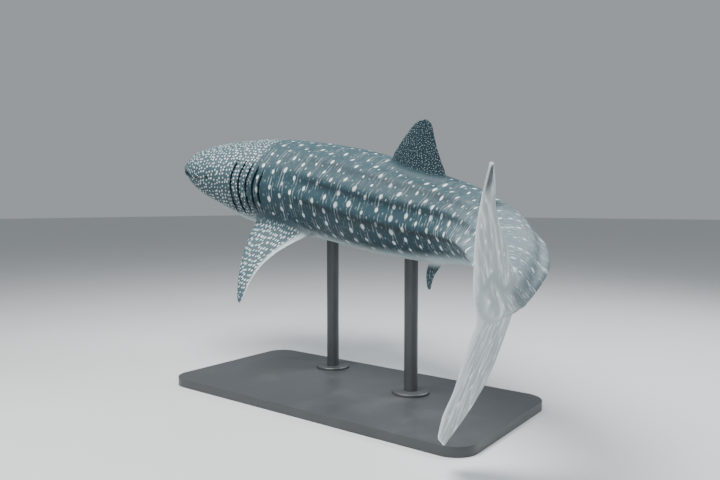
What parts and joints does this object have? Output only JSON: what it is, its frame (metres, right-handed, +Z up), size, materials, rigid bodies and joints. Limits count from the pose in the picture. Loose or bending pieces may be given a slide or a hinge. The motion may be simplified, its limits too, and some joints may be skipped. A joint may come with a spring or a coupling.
{
  "type": "whale shark model",
  "caption": "Life-size still model of a whale shark turning to its left, held over a flat display base by two rods",
  "frame": {"origin": "centre of the underside of the stand's base", "axes": "+Z up; the head looks along -X, the left side of the body faces -Y, and the tail bends towards -Y"},
  "size_m": [4.4774, 3.6801, 2.2328],
  "materials": {
    "skin_back": "satin cast resin painted as slate blue skin with pale spots and stripes",
    "skin_pale": "satin cast resin painted as pale grey skin",
    "eye": "polished",
    "stand_paint": "satin dark grey powder coat"
  },
  "bodies": {
    "root": {"head": "skin_back", "trunk_front": "skin_back", "trunk_middle": "skin_back", "trunk_rear": "skin_back", "tail_front": "skin_back", "tail_rear": "skin_back", "eye_left": "eye", "eye_right": "eye", "first_dorsal_fin": "skin_back", "second_dorsal_fin": "skin_back", "anal_fin": "skin_pale", "pectoral_fin_left": "skin_back", "pectoral_fin_right": "skin_back", "pelvic_fin_left": "skin_back", "pelvic_fin_right": "skin_back", "tail_fin_upper": "skin_pale", "tail_fin_lower": "skin_pale", "stand_base": "stand_paint", "stand_foot_front": "stand_paint", "stand_foot_rear": "stand_paint", "stand_rod_front": "stand_paint", "stand_rod_rear": "stand_paint"}
  },
  "joints": []
}
